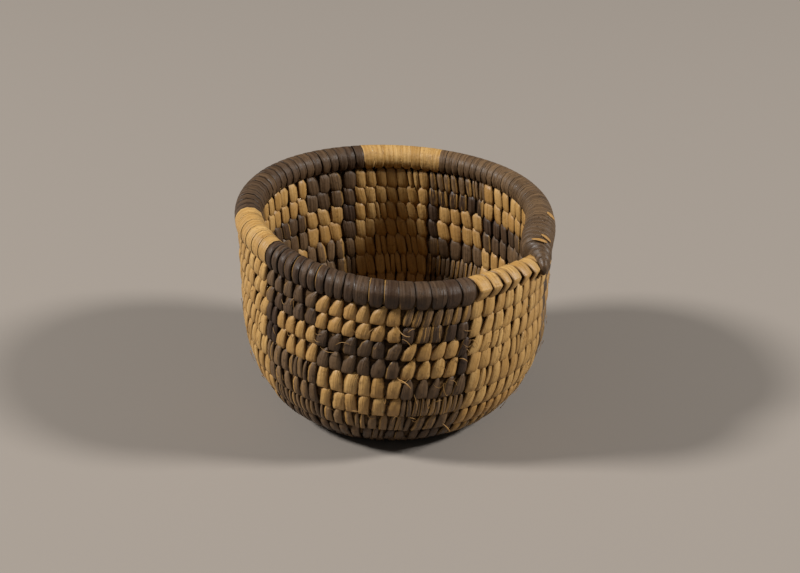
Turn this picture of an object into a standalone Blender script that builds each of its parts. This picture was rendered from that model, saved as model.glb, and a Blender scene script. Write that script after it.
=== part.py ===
"""A miniature coiled basket, with its stitches in light and dark patches.

One bundle of grass runs in an unbroken spiral from the centre of the base, up the wall and once
round the rim. Every other piece is a patch of stitches sewn round it. All pieces are laid out on one
chart: how far the coil has turned, how far up the profile a course lies, and how far a point stands
out from the middle of the coil. The basket stands on z = 0 with the middle of its base at the origin,
the front is towards -Y, and the coil runs clockwise as seen from above.
"""

import math

import bmesh
import bpy
import numpy as np

MM = 0.001

# Overall sizes
RIM_DIAMETER = 35.0 * MM            # outside of the rim
OVERALL_HEIGHT = 22.9 * MM          # to the top of the rim, half way round its turn
WALL_DIAMETER = 34.1 * MM           # outside of the wall where it reaches its full width
FOOT_DIAMETER = 20.0 * MM           # middle of the coil where the flat base ends
TURN_UP_HEIGHT = 9.8 * MM           # height over which the foot curves out to the wall
LEAN_RIGHT = 0.4 * MM               # rim's centre against the base's, to the right
LEAN_BACK = 0.3 * MM                # and to the back

# The coil
FOUNDATION_DIAMETER = 1.0 * MM      # grass bundle in the base and the wall
RIM_FOUNDATION_DIAMETER = 1.6 * MM  # thicker bundle under the rim's wraps
END_FOUNDATION_DIAMETER = 0.2 * MM  # bundle where the rim's end has been shaved thin
SPLINT_THICKNESS = 0.4 * MM         # stitches over the bundle
WRAP_WIDTH = 1.5 * MM               # one overcast wrap on the rim
WRAP_DEPTH = 0.13 * MM              # groove between two wraps
START_RADIUS = 0.6 * MM             # inner edge of the coil's first course
TIP_RADIUS = 0.4 * MM               # blunt tip of the rim's end
BORE_CLEARANCE = 0.15 * MM          # bundle to the stitches round it
PATCH_GAP = 0.2 * MM                # between neighbouring patches

# The basket isn't quite round or level
OVAL_SHARE = 0.024                  # two-lobed departure from the circle at the rim
OVAL_AZIMUTH = -68.0                # degrees from the right, towards the back
LOBE_SHARE = 0.021                  # three-lobed departure at the rim
LOBE_AZIMUTH = 32.0
TILT_SHARE = 0.052                  # rise of the rim towards the left, per length across

# Shape of one course across the coil, as shares of its half thickness and half height
SEAM_SHARE = 0.62                   # half thickness left at the groove between courses
BULGE_SHARE = 0.42                  # half height of the flat crown of a course
FOOT_CURVE = 1.68                   # exponent of the foot's curve
INSET_LIMIT_SHARE = 0.4             # most of a facet that an end's gap may take

# Heights of the courses from the rim down to the foot, as shares of a base course
COURSE_HEIGHT_SHARES = (0.94, 0.89, 0.98, 1.07, 1.15, 1.18, 1.27, 1.24)

# Turning angles, in degrees from the end of the coil, clockwise as seen from above
JOIN_AZIMUTH = -19.0
SWELL_ANGLE = 30.0                  # the rim reaches its full thickness over this turn
TAPER_ANGLE = 16.0                  # the rim's end thins over this turn before the join
OVERLAP_ANGLE = 10.0                # and rides on the rim's beginning for this far past it
COLUMN_ANGLES = {
    "right_light": (0.0, 22.5, 45.0),
    "front": (45.0, 49.0, 69.0, 84.0, 99.5, 120.0, 127.0),
    "left_light": (127.0, 143.5, 160.0),
    "left_back": (160.0, 164.5, 180.0, 195.0, 210.5, 227.5, 233.5),
    "back_light": (233.5, 250.0, 266.0),
    "right_back": (266.0, 270.5, 293.0, 313.5, 334.0, 354.0, 360.0),
}
RIM_ANGLES = {
    "right_light": (0.0, 45.5),
    "front": (45.5, 86.0, 126.0),
    "left_light": (126.0, 156.5),
    "left_back": (156.5, 197.0, 237.0),
    "back_light": (237.0, 270.0),
    "right_back": (270.0, 310.0, 349.0),
}
WALL_COURSE_COUNT = 7               # courses of the pattern below the rim
FOOT_COURSE_COUNT = 2               # dark courses that turn up from the base
PATCH_COURSE_COUNT = 2              # height of a patch in courses

# Colours (linear), roughness
WILLOW = ((0.58, 0.38, 0.135), 0.55)
DARK = ((0.030, 0.022, 0.018), 0.5)
WORN = ((0.14, 0.095, 0.05), 0.65)
GRASS = ((0.42, 0.27, 0.10), 0.8)

BORE_SIDE_COUNT = 6
RIM_SIDE_COUNT = 8
COURSE_HALF = FOUNDATION_DIAMETER / 2 + BORE_CLEARANCE + SPLINT_THICKNESS
RIM_HALF = RIM_FOUNDATION_DIAMETER / 2 + BORE_CLEARANCE + SPLINT_THICKNESS
JOIN = math.radians(JOIN_AZIMUTH)
TURN = 2 * math.pi


def clear_scene():
    for old in list(bpy.data.objects):
        bpy.data.objects.remove(old, do_unlink=True)


def make_material(name, finish):
    colour, roughness = finish
    material = bpy.data.materials.new(name)
    material.use_nodes = True
    shader = material.node_tree.nodes["Principled BSDF"]
    shader.inputs["Base Color"].default_value = (*colour, 1.0)
    shader.inputs["Roughness"].default_value = roughness
    shader.inputs["Metallic"].default_value = 0.0
    material.diffuse_color = (*colour, 1.0)
    return material


# The profile: distance along it from the centre of the base, against radius and height

def trace_profile():
    """Flat base, a superellipse for the foot, then a straight wall up past the rim."""
    foot = FOOT_DIAMETER / 2
    wall = WALL_DIAMETER / 2 - COURSE_HALF
    rim = RIM_DIAMETER / 2 - RIM_HALF
    rim_height = OVERALL_HEIGHT - RIM_HALF
    bend_height = COURSE_HALF + TURN_UP_HEIGHT
    up = np.linspace(0.0, 1.0, 200) ** 2
    out = (1.0 - (1.0 - up) ** FOOT_CURVE) ** (1.0 / FOOT_CURVE)
    slope = (rim - wall) / (rim_height - bend_height)
    above = np.linspace(0.0, OVERALL_HEIGHT, 60)[1:]
    radius = np.concatenate(([0.0], foot + (wall - foot) * out, wall + slope * above))
    height = np.concatenate(([COURSE_HALF], COURSE_HALF + TURN_UP_HEIGHT * up, bend_height + above))
    along = np.concatenate(([0.0], np.cumsum(np.hypot(np.diff(radius), np.diff(height)))))
    rim_along = float(np.interp(rim_height, height[1:], along[1:]))
    return along, radius, height, rim_along


PROFILE_ALONG, PROFILE_RADIUS, PROFILE_HEIGHT, RIM_ALONG = trace_profile()


def count_courses():
    """Whole courses that fit, height of a base course, and where each begins in base courses."""
    length = RIM_ALONG - RIM_HALF - PATCH_GAP / 2 - START_RADIUS
    wall = sum(COURSE_HEIGHT_SHARES) + COURSE_HEIGHT_SHARES[0] / 2
    base = max(FOOT_COURSE_COUNT + 1, math.floor(length / (2 * COURSE_HALF) - wall))
    heights = [1.0] * base + list(COURSE_HEIGHT_SHARES[::-1]) + [COURSE_HEIGHT_SHARES[0]] * 2
    starts = np.concatenate(([0.0], np.cumsum(heights)))
    return base + len(COURSE_HEIGHT_SHARES), length / (base + wall), starts


COURSES, BASE_COURSE, COURSE_STARTS = count_courses()


def profile_point(along):
    along = max(along, 0.0)
    radius = np.interp(along, PROFILE_ALONG, PROFILE_RADIUS)
    height = np.interp(along, PROFILE_ALONG, PROFILE_HEIGHT)
    return np.array((radius, height))


def place(turned, along, out):
    """World point from the angle turned, the distance along the profile and the stand-off."""
    step = COURSE_HALF / 4
    run, rise = profile_point(along + step) - profile_point(along - step)
    length = math.hypot(run, rise)
    radius, height = profile_point(along)
    radius += out * rise / length
    height -= out * run / length
    azimuth = JOIN - turned
    lift = height / OVERALL_HEIGHT
    oval = OVAL_SHARE * math.cos(2 * (azimuth - math.radians(OVAL_AZIMUTH)))
    lobes = LOBE_SHARE * math.cos(3 * (azimuth - math.radians(LOBE_AZIMUTH)))
    radius *= 1.0 + lift * (oval + lobes)
    x = radius * math.cos(azimuth)
    y = radius * math.sin(azimuth)
    return np.array((x + LEAN_RIGHT * lift, y + LEAN_BACK * lift, height - TILT_SHARE * lift * x))


def course_edge(course, turned):
    """Distance along the profile of the lower edge of a course."""
    reached = np.interp(course + turned / TURN, np.arange(len(COURSE_STARTS)), COURSE_STARTS)
    return START_RADIUS + BASE_COURSE * reached


def course_middle(course, turned):
    return (course_edge(course, turned) + course_edge(course + 1, turned)) / 2


# Angles of the stations where every solid has its points, so that all facets line up

STATIONS = sorted({
    math.radians(angle) for angles in COLUMN_ANGLES.values() for angle in angles if angle < 360.0
})


def stations_between(first, last):
    """Station angles from first to last, going on past a full turn where needed."""
    turns = range(int(last // TURN) + 1)
    marks = sorted({angle + TURN * turn for turn in turns for angle in STATIONS})
    inside = [angle for angle in marks if first + 1e-9 < angle < last - 1e-9]
    return [first, *inside, last]


def blend(first, last, share):
    return first + (last - first) * share


def on_chord(turned, point_at):
    """A point at any angle, on the straight line between the stations on both sides."""
    base = TURN * math.floor(turned / TURN + 1e-9)
    marks = [base + angle for angle in (*STATIONS, TURN)]
    after = next((i for i, angle in enumerate(marks) if angle > turned + 1e-9), len(marks) - 1)
    low, high = marks[after - 1], marks[after]
    share = (turned - low) / (high - low)
    if share < 1e-6:
        return point_at(low)
    return blend(point_at(low), point_at(high), share)


def inset(rings, first, last, distance):
    """Move the end rings inwards along the facets, at most part of the way to the next ring."""
    rings = [ring.copy() for ring in rings]
    for end, other, wanted in ((0, 1, first), (-1, -2, last)):
        if wanted:
            reach = rings[other] - rings[end]
            chord = np.linalg.norm(reach, axis=1, keepdims=True)
            rings[end] += reach * np.minimum(distance / chord, INSET_LIMIT_SHARE)
    return rings


def finish_object(name, mesh_builder, material):
    mesh = bpy.data.meshes.new(name)
    mesh_builder.normal_update()
    mesh_builder.to_mesh(mesh)
    mesh_builder.free()
    mesh.materials.append(material)
    mesh.shade_smooth()
    mesh.set_sharp_from_angle(angle=math.radians(50.0))
    piece = bpy.data.objects.new(name, mesh)
    bpy.context.collection.objects.link(piece)
    return piece


# Patches of stitches in the base and the wall

def course_outline(course, turned, is_lowest, is_highest):
    """Places round one course: (along, out), from the lower outer seam round to the lower inner."""
    low = course_edge(course, turned)
    high = course_edge(course + 1, turned)
    middle = (low + high) / 2
    crown = BULGE_SHARE * (high - low) / 2
    low += PATCH_GAP / 2 if is_lowest else 0.0
    high -= PATCH_GAP / 2 if is_highest else 0.0
    seam = SEAM_SHARE * COURSE_HALF
    return [
        (low, seam),
        (middle - crown, COURSE_HALF),
        (middle + crown, COURSE_HALF),
        (high, seam),
        (high, -seam),
        (middle, -COURSE_HALF),
        (low, -seam),
    ]


def course_bore(course, turned):
    """Places round the six-sided bore that the bundle runs through."""
    flat = FOUNDATION_DIAMETER / 2 + BORE_CLEARANCE
    corner = flat / math.cos(math.pi / BORE_SIDE_COUNT)
    middle = course_middle(course, turned)
    angles = [TURN * side / BORE_SIDE_COUNT for side in range(BORE_SIDE_COUNT)]
    return [(middle + corner * math.sin(a), corner * math.cos(a)) for a in angles]


def stitch_patch(name, courses, first_angle, last_angle, material):
    """One solid of stitches over a run of courses, pierced lengthways by a bore in each course."""
    first_course, last_course = courses
    angles = stations_between(math.radians(first_angle), math.radians(last_angle))
    builder = bmesh.new()
    columns = []
    for course in range(first_course, last_course + 1):
        is_lowest = course == first_course
        is_highest = course == last_course
        shells = [
            np.array([place(angle, *spot) for spot in course_outline(course, angle, is_lowest, is_highest)])
            for angle in angles
        ]
        bores = [
            np.array([place(angle, *spot) for spot in course_bore(course, angle)])
            for angle in angles
        ]
        shells = inset(shells, True, True, PATCH_GAP / 2)
        bores = inset(bores, True, True, PATCH_GAP / 2)
        columns.append((shells, bores))
    lower = None
    for level, (shells, bores) in enumerate(columns):
        shell_verts = [[builder.verts.new(point) for point in ring] for ring in shells]
        bore_verts = [[builder.verts.new(point) for point in ring] for ring in bores]
        if lower is not None:
            for ring, below in zip(shell_verts, lower):
                builder.verts.remove(ring[0])
                builder.verts.remove(ring[-1])
                ring[0], ring[-1] = below[3], below[4]
        for here, there in zip(shell_verts, shell_verts[1:]):
            sides = [(0, 1), (1, 2), (2, 3), (4, 5), (5, 6)]
            if level == len(columns) - 1:
                sides.append((3, 4))
            if level == 0:
                sides.append((6, 0))
            for a, b in sides:
                builder.faces.new((here[a], here[b], there[b], there[a]))
        for here, there in zip(bore_verts, bore_verts[1:]):
            for a in range(BORE_SIDE_COUNT):
                b = (a + 1) % BORE_SIDE_COUNT
                builder.faces.new((there[a], there[b], here[b], here[a]))
        close_end(builder, shell_verts[0], bore_verts[0], True)
        close_end(builder, shell_verts[-1], bore_verts[-1], False)
        lower = shell_verts
    bmesh.ops.triangulate(builder, faces=builder.faces[:])
    bmesh.ops.recalc_face_normals(builder, faces=builder.faces[:])
    return finish_object(name, builder, material)


def close_end(builder, shell, bore, at_start):
    """Fill between an outer ring and the bore's ring, walking round both by angle."""
    centre = np.mean([vert.co for vert in bore], axis=0)
    across = np.array(bore[0].co) - centre
    across /= np.linalg.norm(across)
    along = np.array(bore[1].co) - centre
    along -= across * np.dot(along, across)
    along /= np.linalg.norm(along)

    def bearing(vert):
        offset = np.array(vert.co) - centre
        return math.atan2(np.dot(offset, along), np.dot(offset, across)) % TURN

    outer = sorted(shell, key=bearing)
    inner = sorted(bore, key=bearing)
    outer_angles = [bearing(vert) for vert in outer]
    inner_angles = [bearing(vert) for vert in inner]
    i = 0
    j = 0
    while i < len(outer) or j < len(inner):
        next_outer = outer_angles[(i + 1) % len(outer)] + TURN * ((i + 1) // len(outer))
        next_inner = inner_angles[(j + 1) % len(inner)] + TURN * ((j + 1) // len(inner))
        if j >= len(inner) or (i < len(outer) and next_outer <= next_inner):
            corners = (outer[i % len(outer)], outer[(i + 1) % len(outer)], inner[j % len(inner)])
            i += 1
        else:
            corners = (outer[i % len(outer)], inner[(j + 1) % len(inner)], inner[j % len(inner)])
            j += 1
        builder.faces.new(corners if at_start else corners[::-1])


# The rim: a thicker coil that swells from the last course and tapers down on to its own beginning

def ease(share):
    share = min(max(share, 0.0), 1.0)
    return share * share * (3.0 - 2.0 * share)


def rim_radii(turned):
    """Outside radius and bundle radius at an angle turned from the rim's beginning."""
    swell = ease(turned / math.radians(SWELL_ANGLE))
    left = TURN + math.radians(OVERLAP_ANGLE) - turned
    taper = ease(left / math.radians(TAPER_ANGLE + OVERLAP_ANGLE))
    beginning = (course_edge(COURSES, TURN) - course_edge(COURSES, 0.0) - PATCH_GAP) / 2
    outside = blend(beginning, RIM_HALF, swell)
    bundle = blend(FOUNDATION_DIAMETER, RIM_FOUNDATION_DIAMETER, swell) / 2
    return blend(TIP_RADIUS, outside, taper), blend(END_FOUNDATION_DIAMETER / 2, bundle, taper)


def rim_middle(turned):
    """Distance along the profile of the rim coil's middle."""
    outside, _ = rim_radii(turned)
    if turned <= TURN:
        return course_edge(COURSES, turned) + PATCH_GAP / 2 + outside
    start_radius, _ = rim_radii(turned - TURN)
    return rim_middle(turned - TURN) + start_radius + PATCH_GAP + outside


def rim_ring(turned, depth):
    """Eight points round the rim's wraps, drawn in by a depth that shrinks as the coil thins."""
    outside, _ = rim_radii(turned)
    radius = outside - depth * outside / RIM_HALF
    return ring_round(turned, radius)


def rim_bore_ring(turned):
    _, bundle = rim_radii(turned)
    return ring_round(turned, (bundle + BORE_CLEARANCE) / math.cos(math.pi / RIM_SIDE_COUNT))


def ring_round(turned, radius):
    middle = rim_middle(turned)
    angles = [TURN * side / RIM_SIDE_COUNT for side in range(RIM_SIDE_COUNT)]
    return np.array([
        place(turned, middle + radius * math.sin(a), radius * math.cos(a)) for a in angles
    ])


def join_rings(builder, rings, flip):
    """Skin a row of rings of equal count; the result is an open tube of vertices."""
    rows = [[builder.verts.new(point) for point in ring] for ring in rings]
    for here, there in zip(rows, rows[1:]):
        for a in range(len(here)):
            b = (a + 1) % len(here)
            corners = (here[a], here[b], there[b], there[a])
            builder.faces.new(corners[::-1] if flip else corners)
    return rows


def rim_wraps(name, first_angle, last_angle, material, bundle_end=None):
    """Overcast wraps over a stretch of the rim, one ridge to a wrap, round the bundle's bore."""
    first = math.radians(first_angle)
    last = math.radians(last_angle)
    arc = (RIM_DIAMETER / 2 - RIM_HALF) * (last - first)
    wraps = max(2, round(arc / WRAP_WIDTH))
    outer = []
    for step in range(2 * wraps + 1):
        turned = blend(first, last, step / (2 * wraps))
        depth = 0.0 if step % 2 else WRAP_DEPTH
        outer.append(on_chord(turned, lambda angle: rim_ring(angle, depth)))
    bore_last = last if bundle_end is None else bundle_end + BORE_CLEARANCE / RIM_DIAMETER * 2
    bore = [on_chord(angle, rim_bore_ring) for angle in stations_between(first, bore_last)]
    outer = inset(outer, True, True, PATCH_GAP / 2)
    bore = inset(bore, True, bundle_end is None, PATCH_GAP / 2)
    builder = bmesh.new()
    outer_rows = join_rings(builder, outer, False)
    bore_rows = join_rings(builder, bore, True)
    close_end(builder, outer_rows[0], bore_rows[0], True)
    if bundle_end is None:
        close_end(builder, outer_rows[-1], bore_rows[-1], False)
    else:
        builder.faces.new(outer_rows[-1])
        builder.faces.new(bore_rows[-1])
    bmesh.ops.triangulate(builder, faces=builder.faces[:])
    bmesh.ops.recalc_face_normals(builder, faces=builder.faces[:])
    return finish_object(name, builder, material)


# The beginning of the coil, and the unbroken bundle

def start_knot(name, material):
    """A snail-shaped button that fills the inner edge of the first course."""
    levels = (
        (0.0, SPLINT_THICKNESS / 2),
        (COURSE_HALF / 2, 0.0),
        (COURSE_HALF * 3 / 2, 0.0),
        (COURSE_HALF * 2, SPLINT_THICKNESS / 2),
    )
    builder = bmesh.new()
    rows = []
    angles = stations_between(0.0, TURN)
    for height, drawn_in in levels:
        edge = [course_edge(0, angle) - PATCH_GAP / 2 for angle in angles]
        ring = [
            place(angle, radius - drawn_in, COURSE_HALF - height)
            for angle, radius in zip(angles, edge)
        ]
        chord = ring[-2] - ring[-1]
        drawn_back = PATCH_GAP / 2 / np.linalg.norm(chord)
        ring[-1] = ring[-1] + chord * min(drawn_back, INSET_LIMIT_SHARE)
        rows.append([builder.verts.new(point) for point in ring])
    for here, there in zip(rows, rows[1:]):
        for a in range(len(here)):
            b = (a + 1) % len(here)
            builder.faces.new((here[a], here[b], there[b], there[a]))
    builder.faces.new(rows[0])
    builder.faces.new(rows[-1])
    bmesh.ops.triangulate(builder, faces=builder.faces[:])
    bmesh.ops.recalc_face_normals(builder, faces=builder.faces[:])
    return finish_object(name, builder, material)


def bundle_path():
    """Middle line and radius of the bundle, from the knot to the rim's tapered end."""
    centres = []
    radii = []
    wall_turn = TURN * COURSES
    end = TURN + bundle_end_angle()
    for turned in stations_between(0.0, wall_turn + end):
        if turned <= wall_turn:
            along = course_middle(0, turned)
            radius = FOUNDATION_DIAMETER / 2
        else:
            along = rim_middle(turned - wall_turn)
            radius = rim_radii(turned - wall_turn)[1]
        centres.append(place(turned, along, 0.0))
        radii.append(radius)
    nudge = centres[1] - centres[0]
    centres[0] = centres[0] + nudge * (PATCH_GAP / 2 / np.linalg.norm(nudge))
    return centres, radii


def bundle_end_angle():
    """Angle past the join at which the shaved bundle stops inside the last wraps."""
    return math.radians(OVERLAP_ANGLE) / 2


def foundation_coil(name, material):
    centres, radii = bundle_path()
    curve = bpy.data.curves.new(name, "CURVE")
    curve.dimensions = "3D"
    curve.twist_mode = "Z_UP"
    curve.bevel_depth = FOUNDATION_DIAMETER / 2
    curve.bevel_resolution = 1
    curve.use_fill_caps = True
    spline = curve.splines.new("POLY")
    spline.points.add(len(centres) - 1)
    for point, centre, radius in zip(spline.points, centres, radii):
        point.co = (*centre, 1.0)
        point.radius = radius / (FOUNDATION_DIAMETER / 2)
    spline.use_smooth = True
    curve.materials.append(material)
    piece = bpy.data.objects.new(name, curve)
    bpy.context.collection.objects.link(piece)
    print(f"least gap of {name} to itself: {least_gap(centres, radii) / MM:.2f} mm")
    return piece


def least_gap(centres, radii):
    """Smallest clear distance between points of the bundle that are over half a turn apart."""
    points = np.array(centres)
    sizes = np.array(radii)
    apart = np.linalg.norm(points[:, None] - points[None], axis=2) - sizes[:, None] - sizes[None]
    order = np.arange(len(points))
    near = abs(order[:, None] - order[None]) <= len(STATIONS) // 2
    return float(apart[~near].min())


# Assembly

def checkerboard_panel(name, angles, materials):
    """Dark and light patches, two courses high, with thin dark columns at both edges."""
    light, dark, worn = materials
    right, narrow, wide, _, narrow_end, thin, left = angles
    top = COURSES - 1
    upper = (top - PATCH_COURSE_COUNT + 1, top)
    middle = (upper[0] - PATCH_COURSE_COUNT, upper[0] - 1)
    lower = (COURSES - WALL_COURSE_COUNT, middle[0] - 1)
    low_light = (middle[0] - PATCH_COURSE_COUNT, middle[0] - 1)
    low_worn = (lower[0], low_light[0] - 1)
    stitch_patch(f"{name}_upper_right", upper, right, wide, dark)
    stitch_patch(f"{name}_upper_centre", upper, wide, narrow_end, light)
    stitch_patch(f"{name}_upper_left", upper, narrow_end, left, dark)
    stitch_patch(f"{name}_middle_right_edge", middle, right, narrow, dark)
    stitch_patch(f"{name}_middle_right", middle, narrow, wide, light)
    stitch_patch(f"{name}_middle_centre", middle, wide, narrow_end, dark)
    stitch_patch(f"{name}_middle_left", middle, narrow_end, thin, light)
    stitch_patch(f"{name}_middle_left_edge", middle, thin, left, dark)
    stitch_patch(f"{name}_lower_right", lower, right, wide, dark)
    stitch_patch(f"{name}_lower_centre", low_light, wide, narrow_end, light)
    stitch_patch(f"{name}_lowest_centre", low_worn, wide, narrow_end, worn)
    stitch_patch(f"{name}_lower_left", lower, narrow_end, left, dark)


def build_basket():
    clear_scene()
    light = make_material("willow_splint", WILLOW)
    dark = make_material("dark_splint", DARK)
    worn = make_material("worn_splint", WORN)
    grass = make_material("grass_bundle", GRASS)

    foundation_coil("foundation_coil", grass)
    start_knot("start_knot", dark)

    first_wall = COURSES - WALL_COURSE_COUNT
    first_foot = first_wall - FOOT_COURSE_COUNT
    sector_edges = (0.0, COLUMN_ANGLES["left_light"][0], COLUMN_ANGLES["back_light"][0], 360.0)
    for side, first, last in zip(("front", "left", "back"), sector_edges, sector_edges[1:]):
        stitch_patch(f"base_{side}", (0, first_foot - 1), first, last, dark)
        stitch_patch(f"foot_{side}", (first_foot, first_wall - 1), first, last, dark)

    for name in ("right_light", "left_light", "back_light"):
        first, _, last = COLUMN_ANGLES[name]
        stitch_patch(f"{name}_panel", (first_wall, COURSES - 1), first, last, light)
        rim_wraps(f"rim_{name}", *RIM_ANGLES[name], light)

    for name in ("front", "left_back", "right_back"):
        checkerboard_panel(name, COLUMN_ANGLES[name], (light, dark, worn))
        first, middle, last = RIM_ANGLES[name]
        rim_wraps(f"rim_{name}_first_half", first, middle, dark)
        rim_wraps(f"rim_{name}_second_half", middle, last, dark)

    tail_start = RIM_ANGLES["right_back"][-1]
    bundle_end = TURN + bundle_end_angle()
    rim_wraps("rim_tapered_end", tail_start, 360.0 + OVERLAP_ANGLE, dark, bundle_end)
    print(f"{COURSES} courses below the rim, those of the base {BASE_COURSE / MM:.2f} mm high")


build_basket()
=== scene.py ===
import math

import bpy
import numpy as np
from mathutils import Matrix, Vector


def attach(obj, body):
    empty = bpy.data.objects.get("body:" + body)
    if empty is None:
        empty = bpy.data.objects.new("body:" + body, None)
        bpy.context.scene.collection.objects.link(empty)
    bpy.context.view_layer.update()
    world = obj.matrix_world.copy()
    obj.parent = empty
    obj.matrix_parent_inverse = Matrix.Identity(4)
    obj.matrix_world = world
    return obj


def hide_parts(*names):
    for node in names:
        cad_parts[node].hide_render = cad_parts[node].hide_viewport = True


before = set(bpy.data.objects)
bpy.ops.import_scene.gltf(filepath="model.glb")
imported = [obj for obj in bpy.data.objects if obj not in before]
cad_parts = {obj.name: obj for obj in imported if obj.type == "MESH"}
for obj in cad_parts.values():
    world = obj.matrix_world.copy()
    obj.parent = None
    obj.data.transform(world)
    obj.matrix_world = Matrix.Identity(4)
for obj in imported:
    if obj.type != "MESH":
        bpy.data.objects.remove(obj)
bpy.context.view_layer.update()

mm = 0.001
fullTurn = 2 * math.pi
seedSpread = 100  # between the fibres of two stitches, in the noise

# The basket's form. Every stitch is laid out on it, by how far the coil has turned, how far up the
# profile it is, and how far out from the coil's middle.
basket = {
    "rimDiameter": 35.0 * mm,
    "height": 22.9 * mm,
    "wallDiameter": 34.1 * mm,
    "footDiameter": 20.0 * mm,
    "turnUpHeight": 9.8 * mm,
    "leanRight": 0.4 * mm,
    "leanBack": 0.3 * mm,
    "ovalShare": 0.024,
    "ovalAzimuth": math.radians(-68),
    "lobeShare": 0.021,
    "lobeAzimuth": math.radians(32),
    "tiltShare": 0.052,
    "footCurve": 1.68,
    "courseHalf": 1.05 * mm,  # half the wall's thickness, stitches included
    "rimHalf": 1.35 * mm,
    "tipRadius": 0.4 * mm,
    "startRadius": 0.6 * mm,
    "patchGap": 0.2 * mm,
    "courseShares": (0.94, 0.89, 0.98, 1.07, 1.15, 1.18, 1.27, 1.24),  # from the rim down
    "wallCourses": 7,
    "footCourses": 2,
    "join": math.radians(-19),  # where the coil ends, from the right towards the back
    "swell": math.radians(30),
    "taper": math.radians(16),
    "overlap": math.radians(10),
    "footPoints": 200, "wallPoints": 60,
}

# Columns of the pattern, in degrees turned from the join
columns = {
    "right_light": (0, 45),
    "front": (45, 49, 69, 84, 100.5, 120, 127),
    "left_light": (127, 160),
    "left_back": (160, 164.5, 180, 195, 210.5, 227.5, 233.5),
    "back_light": (233.5, 266),
    "right_back": (266, 270.5, 293, 313.5, 334, 354, 360),
}


# Flat base, then the foot as a superellipse, then a straight wall: distance along it, radius, height
def traceProfile():
    foot = basket["footDiameter"] / 2
    wall = basket["wallDiameter"] / 2 - basket["courseHalf"]
    rim = basket["rimDiameter"] / 2 - basket["rimHalf"]
    rimHeight = basket["height"] - basket["rimHalf"]
    bendHeight = basket["courseHalf"] + basket["turnUpHeight"]
    up = np.linspace(0, 1, basket["footPoints"]) ** 2
    out = (1 - (1 - up) ** basket["footCurve"]) ** (1 / basket["footCurve"])
    slope = (rim - wall) / (rimHeight - bendHeight)
    above = np.linspace(0, basket["height"], basket["wallPoints"])[1:]
    radius = np.concatenate(([0], foot + (wall - foot) * out, wall + slope * above))
    height = np.concatenate((
        [basket["courseHalf"]],
        basket["courseHalf"] + basket["turnUpHeight"] * up,
        bendHeight + above,
    ))
    along = np.concatenate(([0], np.cumsum(np.hypot(np.diff(radius), np.diff(height)))))
    return along, radius, height, float(np.interp(rimHeight, height[1:], along[1:]))


profileAlong, profileRadius, profileHeight, rimAlong = traceProfile()


# How many courses there are, how high a base course is, and where each one begins
def countCourses():
    length = rimAlong - basket["rimHalf"] - basket["patchGap"] / 2 - basket["startRadius"]
    shares = list(basket["courseShares"])
    wall = sum(shares) + shares[0] / 2
    base = math.floor(length / (2 * basket["courseHalf"]) - wall)
    starts = np.concatenate(([0], np.cumsum([1.0] * base + shares[::-1] + [shares[0]] * 2)))
    return base + len(shares), length / (base + wall), starts


courses, baseCourse, courseStarts = countCourses()
firstWall = courses - basket["wallCourses"]
firstFoot = firstWall - basket["footCourses"]


# Three values side by side, spread over one shape
def vectors(first, second, third):
    return np.stack(np.broadcast_arrays(first, second, third), axis=-1)


# A point of the profile moved out along its normal and swung round the axis, then made as oval,
# leaning and tilted as the basket is, all growing with the height
def place(turned, along, out):
    step = basket["courseHalf"] / 4
    low, high = np.maximum(along - step, 0), np.maximum(along + step, 0)
    run = np.interp(high, profileAlong, profileRadius) - np.interp(low, profileAlong, profileRadius)
    rise = np.interp(high, profileAlong, profileHeight) - np.interp(low, profileAlong, profileHeight)
    length = np.hypot(run, rise)
    radius = np.interp(along, profileAlong, profileRadius) + out * rise / length
    height = np.interp(along, profileAlong, profileHeight) - out * run / length
    azimuth = basket["join"] - turned
    lift = height / basket["height"]
    oval = basket["ovalShare"] * np.cos(2 * (azimuth - basket["ovalAzimuth"]))
    lobes = basket["lobeShare"] * np.cos(3 * (azimuth - basket["lobeAzimuth"]))
    radius = radius * (1 + lift * (oval + lobes))
    x = radius * np.cos(azimuth)
    y = radius * np.sin(azimuth)
    return vectors(
        x + basket["leanRight"] * lift,
        y + basket["leanBack"] * lift,
        height - basket["tiltShare"] * lift * x,
    )


# Lower edge of a course: the courses climb by one in each turn
def courseEdge(course, turned):
    reached = np.interp(course + turned / fullTurn, np.arange(len(courseStarts)), courseStarts)
    return basket["startRadius"] + baseCourse * reached


# Radius of the profile at a distance along it, no less than the knot's
def radiusAt(along):
    return np.maximum(np.interp(along, profileAlong, profileRadius), basket["startRadius"])


# From 0 to 1 with soft ends: three squares of the share less two cubes
def ease(share):
    share = np.clip(share, 0, 1)
    return share * share * (3 - 2 * share)


# The rim coil swells from the last course and thins to its tip past the join
def rimOutside(turned):
    swell = ease(turned / basket["swell"])
    taper = ease((fullTurn + basket["overlap"] - turned) / (basket["taper"] + basket["overlap"]))
    beginning = (courseEdge(courses, fullTurn) - courseEdge(courses, 0) - basket["patchGap"]) / 2
    whole = beginning + (basket["rimHalf"] - beginning) * swell
    return basket["tipRadius"] + (whole - basket["tipRadius"]) * taper


# Middle of the rim coil along the profile; past the join it rides on its own beginning
def rimMiddle(turned):
    gap = basket["patchGap"]
    first = np.minimum(turned, fullTurn)
    onWall = courseEdge(courses, first) + gap / 2 + rimOutside(first)
    again = np.maximum(turned - fullTurn, 0)
    start = courseEdge(courses, again) + gap / 2 + 2 * rimOutside(again)
    return np.where(turned <= fullTurn, onWall, start + gap + rimOutside(turned))


# Meshes

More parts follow.
